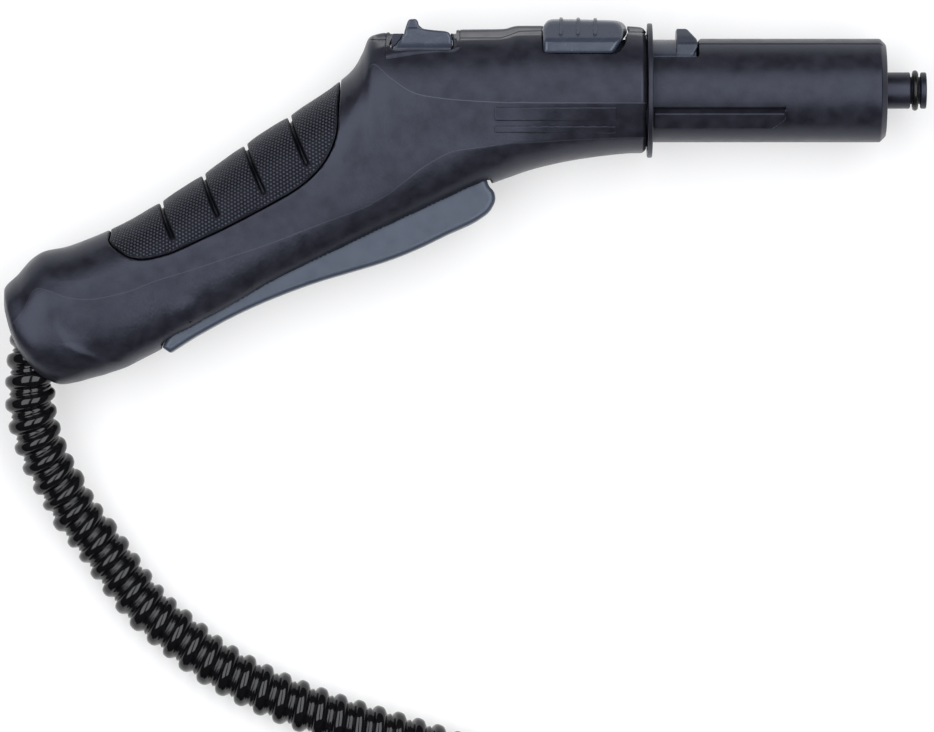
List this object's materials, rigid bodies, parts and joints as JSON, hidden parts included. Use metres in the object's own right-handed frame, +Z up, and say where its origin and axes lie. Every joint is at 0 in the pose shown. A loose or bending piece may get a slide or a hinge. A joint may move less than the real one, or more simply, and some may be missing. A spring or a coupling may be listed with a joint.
{
  "type": "steam cleaner gun with hose",
  "caption": "Hand-held steam gun with a long trigger, a selector rocker, an unlock button, a straight barrel with a steam pipe, and a ribbed steam hose that ends in a plug.",
  "frame": {"origin": "centre of the gun's underside as it lies on its left side; the hose is left out", "axes": "+X forward along the barrel, +Y the gun's upward side, +Z up from the table, out of the gun's right side"},
  "size_m": [0.3302, 0.4914, 0.0457],
  "materials": {
    "charcoal_plastic": "fine grained, satin matt",
    "grip_rubber": "soft, with a raised texture",
    "grey_plastic": "fine grained, satin",
    "hose_plastic": "glossy, ribbed",
    "steel": "turned, zinc plated",
    "brass": "machined",
    "seal_rubber": "matt",
    "steam_tube": "smooth, translucent white"
  },
  "bodies": {
    "gun": {"housing_right": "charcoal_plastic", "housing_left": "charcoal_plastic", "grip_pad": "grip_rubber", "barrel": "charcoal_plastic", "collar": "charcoal_plastic", "steam_pipe": "charcoal_plastic", "pipe_o_ring": "seal_rubber", "steam_outlet_tube": "steam_tube", "valve_body": "brass", "plunger_spring": "steel", "steam_feed_tube": "steam_tube", "hose_socket": "brass", "trigger_pin": "steel", "selector_bezel": "charcoal_plastic", "selector_pin": "steel", "selector_detent": "steel", "latch_pin": "steel", "latch_spring": "steel", "housing_screw_1": "steel", "housing_screw_2": "steel", "housing_screw_3": "steel", "housing_screw_4": "steel", "housing_screw_5": "steel", "hose_free": "hose_plastic", "hose_coil": "hose_plastic", "hose_tail": "hose_plastic", "plug_cuff": "seal_rubber", "plug_body": "charcoal_plastic", "plug_nipple": "brass", "plug_o_ring": "seal_rubber"},
    "trigger": {"trigger": "grey_plastic"},
    "plunger": {"valve_plunger": "steel", "plunger_o_ring": "seal_rubber"},
    "selector": {"selector_rocker": "grey_plastic"},
    "latch": {"unlock_button": "grey_plastic", "latch_arm": "grey_plastic"}
  },
  "joints": [
    {"name": "trigger_pull", "type": "hinge", "parent": "gun", "child": "trigger", "pos_m": [-0.09491, -0.03891, 0.02285], "axis": [0, 0, 1], "range_deg": [0, 4], "stiffness_Nm_per_rad": 6, "springref_deg": -2.86},
    {"name": "valve_stroke", "type": "slide", "parent": "gun", "child": "plunger", "axis": [-0.3939, 0.9192, 0], "range_m": [0, 0.007], "deforming": ["plunger_spring"]},
    {"name": "selector_rock", "type": "hinge", "parent": "gun", "child": "selector", "pos_m": [-0.01466, 0.05256, 0.02285], "axis": [0, 0, 1], "range_deg": [-16, 0]},
    {"name": "unlock_press", "type": "hinge", "parent": "gun", "child": "latch", "pos_m": [0.02782, 0.04456, 0.02285], "axis": [0, 0, 1], "range_deg": [-3.5, 0], "stiffness_Nm_per_rad": 0.75, "springref_deg": 2.86, "deforming": ["latch_spring"]}
  ],
  "couplings": [
    {"joint": "valve_stroke", "follows": "trigger_pull", "m_per_rad": 0.099148}
  ]
}
